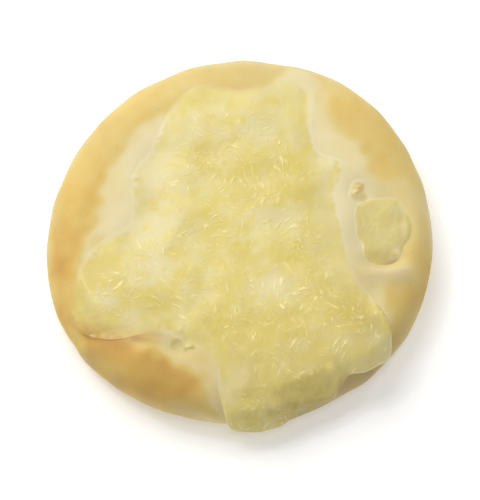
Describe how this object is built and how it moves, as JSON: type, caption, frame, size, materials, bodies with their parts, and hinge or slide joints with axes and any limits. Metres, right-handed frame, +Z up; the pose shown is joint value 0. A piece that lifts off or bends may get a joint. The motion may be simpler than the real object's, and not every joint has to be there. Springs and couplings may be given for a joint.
{
  "type": "manakish",
  "caption": "Small round cheese manakish: a puffy baked flatbread with a browned rim and a melted cheese sheet that runs over the edge.",
  "frame": {"origin": "middle of the underside, on the surface that the bread stands on", "axes": "+Z up out of the topping, -Y towards the side where the cheese drips over the rim, +X towards the small pool of cheese"},
  "size_m": [0.1207, 0.1246, 0.022],
  "materials": {
    "crust": "matte",
    "melted_cheese": "satin"
  },
  "bodies": {
    "root": {"bread": "crust", "cheese": "melted_cheese", "cheese_pool": "melted_cheese"}
  },
  "joints": []
}
